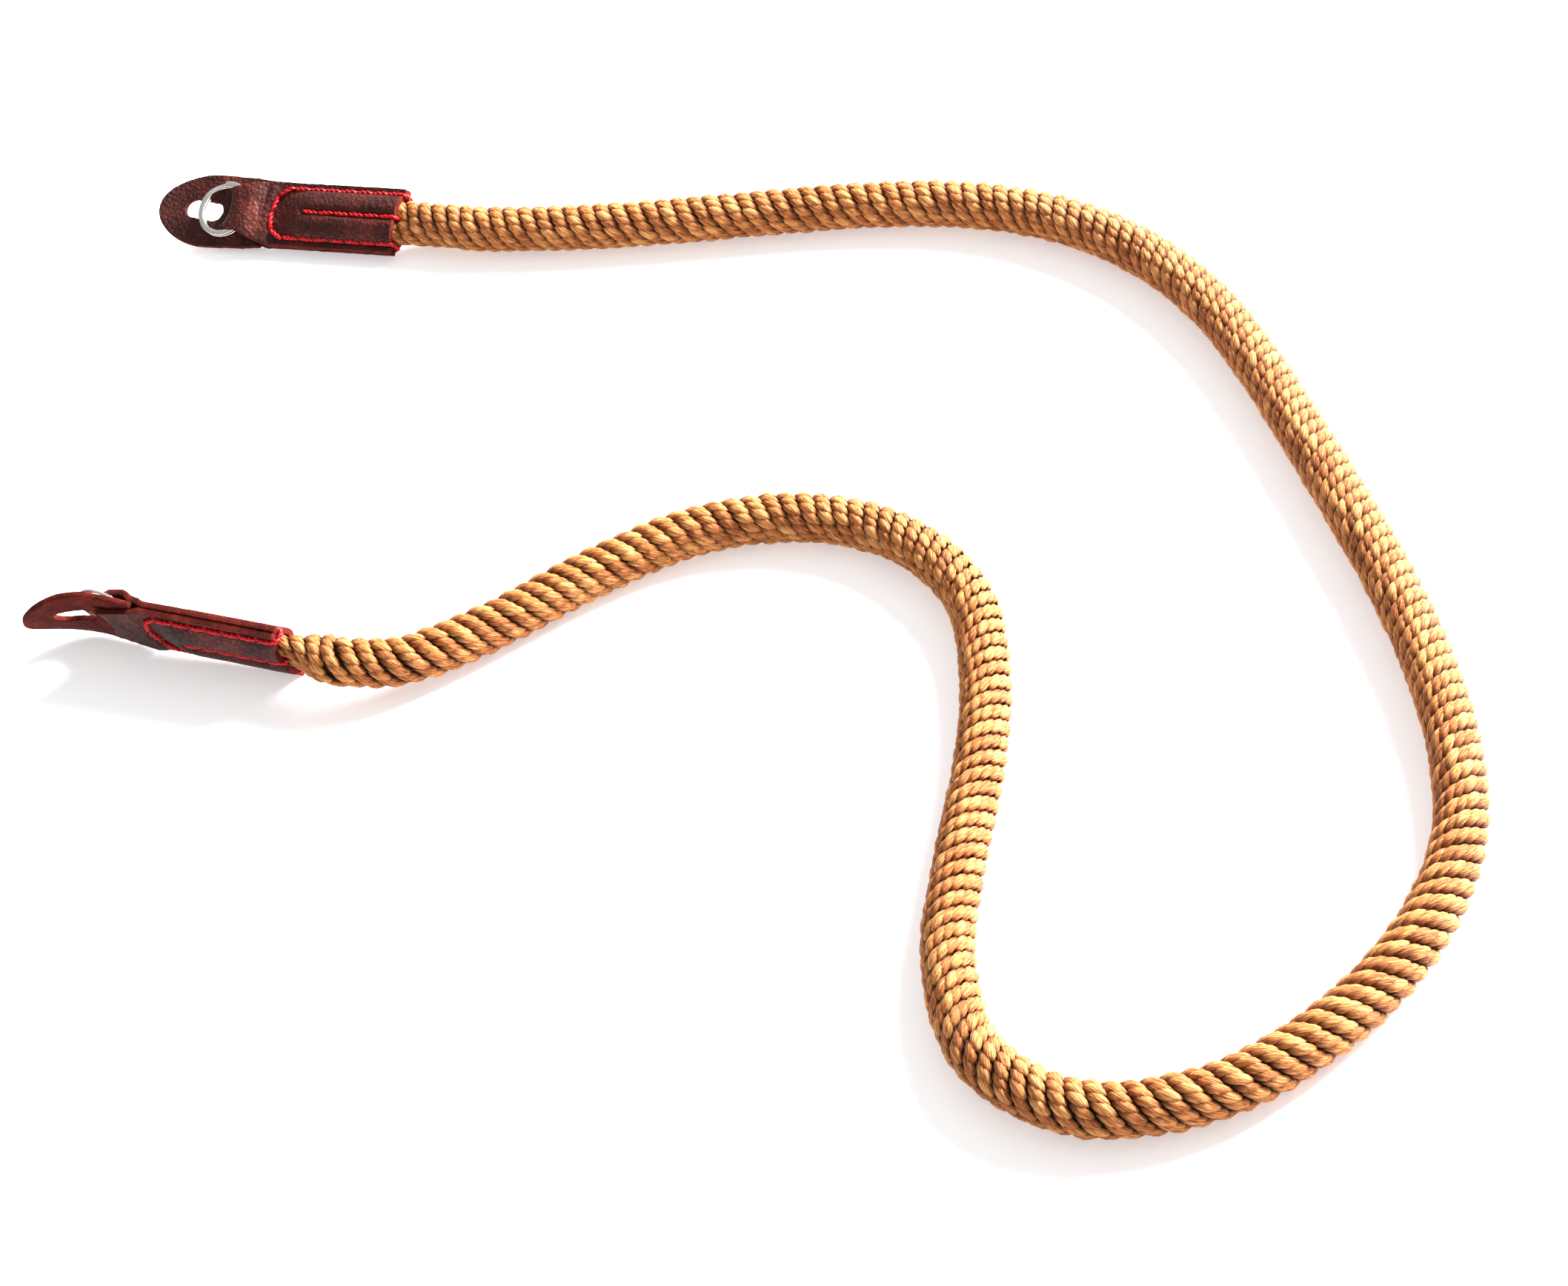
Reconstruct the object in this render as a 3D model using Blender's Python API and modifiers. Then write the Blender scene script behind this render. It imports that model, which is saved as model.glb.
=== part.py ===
"""Camera neck strap: a round braided rope between two leather ends.

Each end is a leather strip folded over a split ring, through a slit in an oval guard flap,
and sewn down over the flattened end of the rope. The strap lies loose on a flat surface.
Metres, +Z up. The origin is under the middle of the two leather ends.
"""
import math

import bmesh
import bpy
from mathutils import Euler, Matrix, Vector

# Gap kept between pieces that touch on the real strap
CLEARANCE = 0.0003

# Rope
ROPE_DIAMETER = 0.012
ROPE_POINTS = 64
ROPE_SHOULDER = 0.010

# Leather strip of each end, folded in two: length from mouth to fold
LEATHER = 0.0015
TAB_LENGTH = 0.053
TAB_WIDTH = 0.0185
FOLD_WIDTH = 0.0112
FOLD_DEPTH = 0.0032
FOLD_HOLLOW = 0.0016
FOLD_SQUARENESS = 2.6
FOLD_STEPS = 6

# Pocket that the seams leave between the two layers for the rope's end; its lengths are
# shares of the strip's
POCKET_WIDTH = 0.014
LOBE_HEIGHT = 0.0029
LOBE_ROUNDNESS = 0.6
PINCH_DEPTH = 0.52
PINCH_WIDTH = 0.0014
PINCH_FADE = 0.0025
MIDDLE_SEAM = 0.547 * TAB_LENGTH
POCKET_FULL = 0.51 * TAB_LENGTH
POCKET_END = 0.736 * TAB_LENGTH
ROPE_IN_POCKET = 0.642 * TAB_LENGTH

# Guard flap: measured from its straight end, which lies between the two layers
FLAP_THICKNESS = 0.0015
FLAP_LENGTH = 0.035
FLAP_WIDTH = 0.0214
FLAP_END_WIDTH = 0.0194
FLAP_FOLD_WIDTH = 0.0205
FLAP_OVERLAP = 0.011
FLAP_TIP_ROUND = 0.017
SLOT_LENGTH = 0.0123
SLOT_WIDTH = 0.0054
SLOT_PAST_FOLD = 0.0098
SLOT_TURN = math.radians(-6.0)
SLOT_STEPS = 6
TIP_STEPS = 9
FLAP_SLICES = 18

# Split ring: flat wire, two coils
RING_DIAMETER = 0.016
RING_BAND = 0.0015
WIRE_HEIGHT = 0.00075
COIL_PITCH = 0.0010
RING_PAST_FOLD = 0.0022
RING_POINTS = 44
COIL_JOG = math.radians(26.0)

# How each end lies: mouth position, heading of its axis towards the ring, rise of that
# axis and roll about it, then the bend and twist of its flap and how far past the fold
# they start
ENDS = {
    "far": {
        "mouth": (0.0552, 0.0541, 0.00623),
        "heading": math.radians(144.0),
        "rise": math.radians(-0.25),
        "roll": math.radians(-25.0),
        "flap_bend": math.radians(16.0),
        "flap_twist": math.radians(4.0),
        "bend_start": 0.0115,
        "coil_gap_turn": math.radians(-52.0),
    },
    "near": {
        "mouth": (0.0023, -0.0985, 0.00938),
        "heading": math.radians(141.0),
        "rise": math.radians(1.4),
        "roll": math.radians(76.0),
        "flap_bend": math.radians(-36.0),
        "flap_twist": math.radians(-20.0),
        "bend_start": 0.0022,
        "coil_gap_turn": math.radians(60.0),
    },
}

# Rope's route over the surface from the far end to the near one, chosen by hand: x, y, z
ROUTE = (
    (0.0769, 0.0383, 0.00602),
    (0.1002, 0.0250, 0.00602),
    (0.1243, 0.0134, 0.00602),
    (0.1488, 0.0025, 0.00602),
    (0.1729, -0.0088, 0.00602),
    (0.1957, -0.0228, 0.00602),
    (0.2149, -0.0413, 0.00602),
    (0.2289, -0.0641, 0.00602),
    (0.2370, -0.0895, 0.00602),
    (0.2403, -0.1162, 0.00602),
    (0.2416, -0.1428, 0.00602),
    (0.2424, -0.1696, 0.00602),
    (0.2427, -0.1963, 0.00602),
    (0.2414, -0.2230, 0.00602),
    (0.2374, -0.2495, 0.00602),
    (0.2285, -0.2746, 0.00602),
    (0.2112, -0.2948, 0.00602),
    (0.1880, -0.3080, 0.00602),
    (0.1620, -0.3129, 0.00602),
    (0.1366, -0.3051, 0.00602),
    (0.1218, -0.2837, 0.00602),
    (0.1229, -0.2572, 0.00602),
    (0.1326, -0.2323, 0.00602),
    (0.1440, -0.2081, 0.00602),
    (0.1528, -0.1828, 0.00602),
    (0.1561, -0.1562, 0.00602),
    (0.1474, -0.1313, 0.00602),
    (0.1284, -0.1129, 0.00602),
    (0.1032, -0.1041, 0.00602),
    (0.0767, -0.1056, 0.00602),
    (0.0504, -0.1111, 0.0061),
    (0.0289, -0.1133, 0.0073),
)

# Stations of the leather strip: shares of the straight length before the fold
TAB_STATIONS = (
    0.0, 0.05, 0.13, 0.23, 0.33, 0.43, 0.52, 0.57, 0.62, 0.68,
    0.74, 0.79, 0.84, 0.88, 0.92, 0.96, 1.0,
)
# Columns across the strip: shares of its half width
TAB_COLUMNS = (-1.0, -0.88, -0.75, -0.60, -0.40, -0.17, 0.0, 0.17, 0.40, 0.60, 0.75, 0.88, 1.0)
# Sections of the rope's shoulder outside the mouth: shares of the shoulder's length
SHOULDER_SECTIONS = (0.0, 0.25, 0.5, 0.75)

# Heights that follow from the stack in the fold: flap's bridge, ring, two layers
FLAP_TOP = FLAP_THICKNESS / 2.0
RING_HEIGHT = COIL_PITCH + WIRE_HEIGHT
RING_BASE = FLAP_TOP + CLEARANCE
THROAT_UP = RING_BASE + RING_HEIGHT + CLEARANCE
THROAT_DOWN = FLAP_TOP + CLEARANCE
FOLD_START = TAB_LENGTH - FOLD_DEPTH
FLAP_START = TAB_LENGTH - FLAP_OVERLAP
RING_RADIUS = RING_DIAMETER / 2.0
RING_CENTRE = TAB_LENGTH + RING_PAST_FOLD


def smoothstep(low, high, value):
    """Smooth rise from 0 at low to 1 at high."""
    t = min(max((value - low) / (high - low), 0.0), 1.0)
    return t * t * (3.0 - 2.0 * t)


def material(name, colour, roughness, metallic):
    """Principled material of one colour."""
    made = bpy.data.materials.new(name)
    made.use_nodes = True
    shader = made.node_tree.nodes["Principled BSDF"]
    shader.inputs["Base Color"].default_value = (*colour, 1.0)
    shader.inputs["Roughness"].default_value = roughness
    shader.inputs["Metallic"].default_value = metallic
    return made


def mesh_object(name, mesh, collection, finish=None, parent=None):
    """Put a mesh in the scene as a named object, with its own material and parent."""
    made = bpy.data.objects.new(name, mesh)
    collection.objects.link(made)
    if finish is not None:
        mesh.materials.clear()
        mesh.materials.append(finish)
    made.parent = parent
    return made


def grid_mesh(name, rows):
    """Open sheet through rows of points."""
    made = bmesh.new()
    grid = [[made.verts.new(point) for point in row] for row in rows]
    for near, far in zip(grid, grid[1:]):
        for a, b, c, d in zip(near, near[1:], far[1:], far):
            made.faces.new((a, b, c, d))
    mesh = bpy.data.meshes.new(name)
    made.to_mesh(mesh)
    made.free()
    return mesh


def loft_mesh(name, sections):
    """Closed solid through sections with the same number of points."""
    made = bmesh.new()
    loops = [[made.verts.new(point) for point in section] for section in sections]
    for near, far in zip(loops, loops[1:]):
        for i in range(len(near)):
            j = (i + 1) % len(near)
            made.faces.new((near[i], near[j], far[j], far[i]))
    made.faces.new(loops[0])
    made.faces.new(loops[-1])
    bmesh.ops.recalc_face_normals(made, faces=made.faces)
    mesh = bpy.data.meshes.new(name)
    made.to_mesh(mesh)
    made.free()
    return mesh


def solid_from(source):
    """Closed mesh of an object as its modifiers or bevel leave it."""
    depsgraph = bpy.context.evaluated_depsgraph_get()
    mesh = bpy.data.meshes.new_from_object(source.evaluated_get(depsgraph))
    made = bmesh.new()
    made.from_mesh(mesh)
    bmesh.ops.remove_doubles(made, verts=made.verts, dist=1e-6)
    bmesh.ops.recalc_face_normals(made, faces=made.faces)
    made.to_mesh(mesh)
    made.free()
    return mesh


def shade_round(made, angle):
    """Smooth shading that keeps edges sharper than the angle."""
    made.data.shade_smooth()
    made.data.set_sharp_from_angle(angle=math.radians(angle))


def lobe_height(x, y):
    """Half height of the pocket's bulge: two lobes beside the middle seam, one past it."""
    along = 1.0 - smoothstep(POCKET_FULL, POCKET_END, x)
    across = max(1.0 - (2.0 * y / POCKET_WIDTH) ** 2, 0.0) ** LOBE_ROUNDNESS
    seam = 1.0 - smoothstep(MIDDLE_SEAM - PINCH_FADE, MIDDLE_SEAM + PINCH_FADE, x)
    pinch = 1.0 - PINCH_DEPTH * seam * math.exp(-((y / PINCH_WIDTH) ** 2))
    return LOBE_HEIGHT * along * across * pinch


def inner_heights(x, y):
    """Heights of the two layers' inner faces above and below the strip's middle plane."""
    lobe = CLEARANCE / 2.0 + lobe_height(x, y)
    ring_left = RING_CENTRE - RING_RADIUS - CLEARANCE
    opened = smoothstep(POCKET_END - CLEARANCE, FLAP_START, x)
    raised = smoothstep(FLAP_START, ring_left, x)
    up = lobe + opened * (THROAT_DOWN - CLEARANCE / 2.0) + raised * (THROAT_UP - THROAT_DOWN)
    down = lobe + opened * (THROAT_DOWN - CLEARANCE / 2.0)
    return up, down


def half_width(x):
    """Half width of the strip, which narrows from the pocket's end to the fold."""
    narrowing = smoothstep(POCKET_END, TAB_LENGTH, x)
    return (TAB_WIDTH + (FOLD_WIDTH - TAB_WIDTH) * narrowing) / 2.0


def fold_shift(x, share):
    """How far the ring has drawn the strip's edges out past its middle near the fold."""
    return FOLD_HOLLOW * share**2 * smoothstep(FLAP_START, FOLD_START, x)


def tab_rows():
    """Middle surface of the folded strip, from the mouth over the fold and back."""
    upper, lower = [], []
    for station in TAB_STATIONS:
        x = station * FOLD_START
        top, bottom = [], []
        for share in TAB_COLUMNS:
            y = share * half_width(x)
            up, down = inner_heights(x, y)
            shift = x + fold_shift(x, share)
            top.append((shift, y, up + LEATHER / 2.0))
            bottom.append((shift, y, -down - LEATHER / 2.0))
        upper.append(top)
        lower.append(bottom)
    middle = (THROAT_UP - THROAT_DOWN) / 2.0
    height = (THROAT_UP + THROAT_DOWN + LEATHER) / 2.0
    depth = FOLD_DEPTH - LEATHER / 2.0
    power = 2.0 / FOLD_SQUARENESS
    fold = []
    for step in range(1, FOLD_STEPS):
        angle = math.pi / 2.0 - math.pi * step / FOLD_STEPS
        x = FOLD_START + depth * abs(math.cos(angle)) ** power
        z = middle + math.copysign(height * abs(math.sin(angle)) ** power, math.sin(angle))
        row = []
        for share in TAB_COLUMNS:
            row.append((x + fold_shift(x, share), share * half_width(x), z))
        fold.append(row)
    return upper + fold + lower[::-1]


def make_tab(side, parent, collection, finish):
    """Leather strip, folded in two over the ring and the flap's bridge."""
    sheet = grid_mesh("tab_sheet", tab_rows())
    made = mesh_object(f"leather_tab_{side}", sheet, collection, finish, parent)
    wall = made.modifiers.new("leather thickness", "SOLIDIFY")
    wall.thickness = LEATHER
    wall.offset = 0.0
    wall.use_even_offset = True
    shade_round(made, 40.0)
    return made


def rope_section(x):
    """Section of the rope's end: round at the shoulder, as flat as the pocket inside.

    Its points lie under the strip's own columns, so the gap to the leather is even.
    """
    radius = ROPE_DIAMETER / 2.0
    flattening = smoothstep(-ROPE_SHOULDER, 0.0, x)
    inside = max(x, 0.0)
    tip = POCKET_WIDTH / 2.0 - 2.0 * CLEARANCE
    columns = [share * TAB_WIDTH / 2.0 for share in TAB_COLUMNS]
    columns = [y for y in columns if abs(y) < 0.95 * tip]
    around = [(-tip, 0.0)] + [(y, 1.0) for y in columns] + [(tip, 0.0)]
    around += [(y, -1.0) for y in reversed(columns)]
    points = []
    for flat_y, side in around:
        across = flat_y / tip
        round_z = side * radius * math.sqrt(1.0 - across**2)
        flat_z = side * (lobe_height(inside, flat_y) - CLEARANCE / 2.0)
        y = radius * across + (flat_y - radius * across) * flattening
        z = round_z + (flat_z - round_z) * flattening
        points.append((x, y, z))
    return points


def make_rope_end(side, parent, collection, finish):
    """Flattened end of the rope in the pocket, with the shoulder where it turns round."""
    stations = [-ROPE_SHOULDER * (1.0 - share) for share in SHOULDER_SECTIONS]
    inside = [station * FOLD_START for station in TAB_STATIONS]
    stations += [x for x in inside if x <= ROPE_IN_POCKET]
    mesh = loft_mesh("rope_end", [rope_section(x) for x in stations])
    made = mesh_object(f"rope_end_{side}", mesh, collection, finish, parent)
    shade_round(made, 50.0)
    return made


def flap_outline():
    """Outline of the flap: a straight end, almost parallel sides and a round tip."""
    tip = FLAP_START + FLAP_LENGTH
    widest = tip - FLAP_TIP_ROUND
    side = [(FLAP_START, FLAP_END_WIDTH / 2.0), (FLAP_START + FLAP_OVERLAP / 2.0, FLAP_FOLD_WIDTH / 2.0)]
    for step in range(TIP_STEPS):
        angle = math.pi / 2.0 * step / TIP_STEPS
        x = widest + FLAP_TIP_ROUND * math.sin(angle)
        side.append((x, FLAP_WIDTH / 2.0 * math.cos(angle)))
    return side + [(tip, 0.0)] + [(x, -y) for x, y in side[::-1]]


def slot_outline():
    """Outline of the slot that a lug goes through: two half rounds, turned a little."""
    radius = SLOT_WIDTH / 2.0
    reach = SLOT_LENGTH / 2.0 - radius
    turn = Matrix.Rotation(SLOT_TURN, 2)
    points = []
    for middle, first in ((reach, -math.pi / 2.0), (-reach, math.pi / 2.0)):
        for step in range(SLOT_STEPS + 1):
            angle = first + math.pi * step / SLOT_STEPS
            point = turn @ Vector((middle + radius * math.cos(angle), radius * math.sin(angle)))
            points.append((TAB_LENGTH + SLOT_PAST_FOLD + point.x, point.y))
    return points


def slit_outline():
    """Outline of the slit that the fold passes through, a clearance round the strip."""
    left = FOLD_START + CLEARANCE
    half = FOLD_WIDTH / 2.0 + 2.0 * CLEARANCE
    right = []
    for step in range(7):
        share = step / 3.0 - 1.0
        right.append((TAB_LENGTH + CLEARANCE + FOLD_HOLLOW * share**2, half * share))
    return [(left, half), (left, -half)] + right


def prism(name, outline, height, collection):
    """Upright solid on an outline, made as a filled flat curve."""
    curve = bpy.data.curves.new(name, "CURVE")
    curve.dimensions = "2D"
    curve.fill_mode = "BOTH"
    curve.extrude = height / 2.0
    spline = curve.splines.new("POLY")
    spline.points.add(len(outline) - 1)
    for point, (x, y) in zip(spline.points, outline):
        point.co = (x, y, 0.0, 1.0)
    spline.use_cyclic_u = True
    flat = bpy.data.objects.new(name, curve)
    collection.objects.link(flat)
    mesh = solid_from(flat)
    bpy.data.objects.remove(flat)
    made = mesh_object(name, mesh, collection)
    made.hide_render = True
    made.display_type = "WIRE"
    return made


def boolean(target, cutter, operation):
    """Exact Boolean modifier."""
    cut = target.modifiers.new(cutter.name, "BOOLEAN")
    cut.operation = operation
    cut.solver = "EXACT"
    cut.object = cutter


def flap_slab():
    """Flat slab in slices, so that it can bend along its length."""
    width = FLAP_WIDTH + 0.002
    start = FLAP_START - 0.001
    length = FLAP_LENGTH + 0.002
    sections = []
    for step in range(FLAP_SLICES + 1):
        x = start + length * step / FLAP_SLICES
        sections.append(
            [
                (x, -width / 2.0, -FLAP_TOP),
                (x, width / 2.0, -FLAP_TOP),
                (x, width / 2.0, FLAP_TOP),
                (x, -width / 2.0, FLAP_TOP),
            ]
        )
    return loft_mesh("flap_slab", sections)


def bend(mesh, start, length, angle, twist):
    """Twist a mesh about X and bend it in an arc about the Y direction, from start on."""
    radius = length / angle
    for vertex in mesh.vertices:
        along = vertex.co.x - start
        if along > 0.0:
            vertex.co = Matrix.Rotation(twist * along / length, 3, "X") @ vertex.co
            turned = along / radius
            reach = radius - vertex.co.z
            vertex.co.x = start + reach * math.sin(turned)
            vertex.co.z = radius - reach * math.cos(turned)


def make_flap(side, end, parent, collection, cutters, finish):
    """Oval guard flap with its lug slot, and the slit whose bridge the fold holds."""
    blank = mesh_object("flap_blank", flap_slab(), cutters)
    tall = 4.0 * FLAP_THICKNESS
    outline = prism("flap_outline", flap_outline(), tall, cutters)
    slot = prism("lug_slot", slot_outline(), tall, cutters)
    slit = prism("fold_slit", slit_outline(), tall, cutters)
    boolean(blank, outline, "INTERSECT")
    boolean(blank, slot, "DIFFERENCE")
    boolean(blank, slit, "DIFFERENCE")
    bpy.context.view_layer.update()
    mesh = solid_from(blank)
    for tool in (blank, outline, slot, slit):
        bpy.data.objects.remove(tool)
    start = TAB_LENGTH + end["bend_start"]
    length = FLAP_START + FLAP_LENGTH - start
    bend(mesh, start, length, end["flap_bend"], end["flap_twist"])
    made = mesh_object(f"guard_flap_{side}", mesh, collection, finish, parent)
    shade_round(made, 35.0)
    return made


def make_ring(side, end, parent, collection, finish):
    """Split ring: a wire of two coils that cross over once, pressed flat."""
    flatness = WIRE_HEIGHT / RING_BAND
    radius = RING_RADIUS - RING_BAND / 2.0
    first, last = COIL_JOG, 4.0 * math.pi - COIL_JOG
    curve = bpy.data.curves.new("coil", "CURVE")
    curve.dimensions = "3D"
    curve.bevel_depth = RING_BAND / 2.0
    curve.bevel_resolution = 2
    curve.use_fill_caps = True
    spline = curve.splines.new("POLY")
    spline.points.add(RING_POINTS - 1)
    for index, point in enumerate(spline.points):
        angle = first + (last - first) * index / (RING_POINTS - 1)
        middle = 2.0 * math.pi
        crossing = smoothstep(middle - COIL_JOG, middle + COIL_JOG, angle)
        height = COIL_PITCH * (crossing - 0.5)
        turned = angle + end["coil_gap_turn"]
        place = (radius * math.cos(turned), radius * math.sin(turned), height / flatness, 1.0)
        point.co = place
    coil = bpy.data.objects.new("coil", curve)
    collection.objects.link(coil)
    mesh = solid_from(coil)
    bpy.data.objects.remove(coil)
    mesh.transform(Matrix.Diagonal((1.0, 1.0, flatness, 1.0)))
    made = mesh_object(f"split_ring_{side}", mesh, collection, finish, parent)
    made.location = (RING_CENTRE, 0.0, RING_BASE + RING_HEIGHT / 2.0)
    shade_round(made, 60.0)
    return made


def end_frame(side, end, collection):
    """Empty at the middle of an end's mouth, with X along the end towards its ring."""
    frame = bpy.data.objects.new(f"end_{side}", None)
    collection.objects.link(frame)
    turn = Matrix.Rotation(end["heading"], 4, "Z")
    turn = turn @ Matrix.Rotation(-end["rise"], 4, "Y") @ Matrix.Rotation(end["roll"], 4, "X")
    frame.location = end["mouth"]
    frame.rotation_euler = Euler(turn.to_euler())
    bpy.context.view_layer.update()
    return frame


def smooth_route(points, count):
    """Evenly spaced points on a Catmull-Rom curve, with its first and last runs straight."""
    dense = []
    steps = 24
    for a, b, c, d in zip(points, points[1:], points[2:], points[3:]):
        for step in range(steps):
            t = step / steps
            slope = c - a
            bow = 2.0 * a - 5.0 * b + 4.0 * c - d
            turn = 3.0 * b - a - 3.0 * c + d
            dense.append(b + 0.5 * (slope * t + bow * t**2 + turn * t**3))
    dense.append(points[-2])
    travelled = [0.0]
    for a, b in zip(dense, dense[1:]):
        travelled.append(travelled[-1] + (b - a).length)
    spaced = []
    index = 0
    for step in range(count):
        target = travelled[-1] * step / (count - 1)
        while index < len(dense) - 2 and travelled[index + 1] < target:
            index += 1
        gap = travelled[index + 1] - travelled[index]
        share = (target - travelled[index]) / gap
        spaced.append(dense[index].lerp(dense[index + 1], min(share, 1.0)))
    return [points[0]] + spaced + [points[-1]]


def make_rope(frames, collection, finish):
    """Free rope from one leather end's shoulder to the other's."""
    start = ROPE_SHOULDER + CLEARANCE
    lead = start + ROPE_DIAMETER / 2.0
    far, near = frames["far"].matrix_world, frames["near"].matrix_world
    points = [far @ Vector((-start, 0.0, 0.0)), far @ Vector((-lead, 0.0, 0.0))]
    points += [Vector(point) for point in ROUTE]
    points += [near @ Vector((-lead, 0.0, 0.0)), near @ Vector((-start, 0.0, 0.0))]
    curve = bpy.data.curves.new("rope", "CURVE")
    curve.dimensions = "3D"
    curve.bevel_depth = ROPE_DIAMETER / 2.0
    curve.bevel_resolution = 4
    curve.use_fill_caps = True
    spline = curve.splines.new("POLY")
    places = smooth_route(points, ROPE_POINTS)
    spline.points.add(len(places) - 1)
    for point, place in zip(spline.points, places):
        point.co = (*place, 1.0)
    made = bpy.data.objects.new("rope", curve)
    collection.objects.link(made)
    curve.materials.append(finish)
    return made


def main():
    for old in list(bpy.data.objects):
        bpy.data.objects.remove(old)
    strap = bpy.data.collections.new("camera_neck_strap")
    cutters = bpy.data.collections.new("cutters")
    bpy.context.scene.collection.children.link(strap)
    bpy.context.scene.collection.children.link(cutters)
    cotton = material("cotton_rope", (0.53, 0.25, 0.08), 0.9, 0.0)
    steel = material("nickel_steel", (0.75, 0.74, 0.72), 0.25, 1.0)
    frames = {}
    for side, end in ENDS.items():
        leather = material(f"leather_{side}", (0.10, 0.024, 0.014), 0.6, 0.0)
        frame = end_frame(side, end, strap)
        frames[side] = frame
        make_tab(side, frame, strap, leather)
        make_rope_end(side, frame, strap, cotton)
        make_flap(side, end, frame, strap, cutters, leather)
        make_ring(side, end, frame, strap, steel)
    make_rope(frames, strap, cotton)


main()
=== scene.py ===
"""Camera neck strap of braided rope with two sewn leather ends, lying on a pale floor."""
import math

import bmesh
import bpy
from mathutils import Matrix, Vector, noise


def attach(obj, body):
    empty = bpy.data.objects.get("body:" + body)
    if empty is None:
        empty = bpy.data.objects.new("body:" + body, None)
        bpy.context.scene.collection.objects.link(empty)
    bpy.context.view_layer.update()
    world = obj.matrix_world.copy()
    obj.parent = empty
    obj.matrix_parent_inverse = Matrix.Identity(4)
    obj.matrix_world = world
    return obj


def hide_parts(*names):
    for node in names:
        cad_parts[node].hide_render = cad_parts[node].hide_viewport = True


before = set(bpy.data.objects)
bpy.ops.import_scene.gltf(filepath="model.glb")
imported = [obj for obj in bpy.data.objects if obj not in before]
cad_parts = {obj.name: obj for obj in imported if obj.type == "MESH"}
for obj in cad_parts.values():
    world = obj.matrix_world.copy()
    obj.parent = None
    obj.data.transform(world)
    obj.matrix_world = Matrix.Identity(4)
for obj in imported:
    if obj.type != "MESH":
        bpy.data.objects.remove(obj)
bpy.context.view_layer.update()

# Camera: a long lens from the front and above, turned about its own line of sight, so the
# floor's far edge falls away to the right.
lens = bpy.data.cameras.new("camera")
lens.lens = 85.0
lens.sensor_width = 36.0
lens.clip_start = 0.01
camera = bpy.data.objects.new("camera", lens)
bpy.context.scene.collection.objects.link(camera)
bpy.context.scene.camera = camera
look_down = math.radians(43.5)
lean = math.radians(20.0)
camera_place = Vector((0.1133, -0.7629, 0.587))
level_up = Vector((0.0, math.sin(look_down), math.cos(look_down)))
across = Vector((math.cos(lean), 0.0, 0.0)) - level_up * math.sin(lean)
upward = Vector((math.sin(lean), 0.0, 0.0)) + level_up * math.cos(lean)
backward = Vector((0.0, -math.cos(look_down), math.sin(look_down)))
turn = Matrix((across, upward, backward)).transposed().to_4x4()
camera.matrix_world = Matrix.Translation(camera_place) @ turn

# Rope: fourteen slanting columns of cotton floats braided round a core, 12 mm thick.
# It runs out of one leather end, loops over the floor and goes into the other.
rope_diameter = 0.012
rope_shoulder = 0.010
rope_in_pocket = 0.012
mouth_gap = 0.0003
braid_pitch = 0.0041
levels_in_pitch = 7
level_turn = math.radians(-77.86)
float_length = 0.0072
float_width = 0.0033
float_height = 0.0014
float_lean = math.radians(39.0)
route = (
    (0.0769, 0.0383, 0.00602), (0.1002, 0.0250, 0.00602), (0.1243, 0.0134, 0.00602),
    (0.1488, 0.0025, 0.00602), (0.1729, -0.0088, 0.00602), (0.1957, -0.0228, 0.00602),
    (0.2149, -0.0413, 0.00602), (0.2289, -0.0641, 0.00602), (0.2370, -0.0895, 0.00602),
    (0.2403, -0.1162, 0.00602), (0.2416, -0.1428, 0.00602), (0.2424, -0.1696, 0.00602),
    (0.2427, -0.1963, 0.00602), (0.2414, -0.2230, 0.00602), (0.2374, -0.2495, 0.00602),
    (0.2285, -0.2746, 0.00602), (0.2112, -0.2948, 0.00602), (0.1880, -0.3080, 0.00602),
    (0.1620, -0.3129, 0.00602), (0.1366, -0.3051, 0.00602), (0.1218, -0.2837, 0.00602),
    (0.1229, -0.2572, 0.00602), (0.1326, -0.2323, 0.00602), (0.1440, -0.2081, 0.00602),
    (0.1528, -0.1828, 0.00602), (0.1561, -0.1562, 0.00602), (0.1474, -0.1313, 0.00602),
    (0.1284, -0.1129, 0.00602), (0.1032, -0.1041, 0.00602), (0.0767, -0.1056, 0.00602),
    (0.0504, -0.1111, 0.00610), (0.0289, -0.1133, 0.00730),
)
# How each leather end lies: a frame at the middle of the mouth where the rope goes in, with
# X along the end towards its ring and Z on the ring's side
end_frames = {}
for side, mouth, heading, rise, roll in (
    ("far", (0.0552, 0.0541, 0.00623), 144.0, -0.25, -25.0),
    ("near", (0.0023, -0.0985, 0.00938), 141.0, 1.4, 76.0),
):
    turn = Matrix.Rotation(math.radians(heading), 4, "Z")
    turn = turn @ Matrix.Rotation(-math.radians(rise), 4, "Y")
    turn = turn @ Matrix.Rotation(math.radians(roll), 4, "X")
    end_frames[side] = Matrix.Translation(mouth) @ turn

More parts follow.
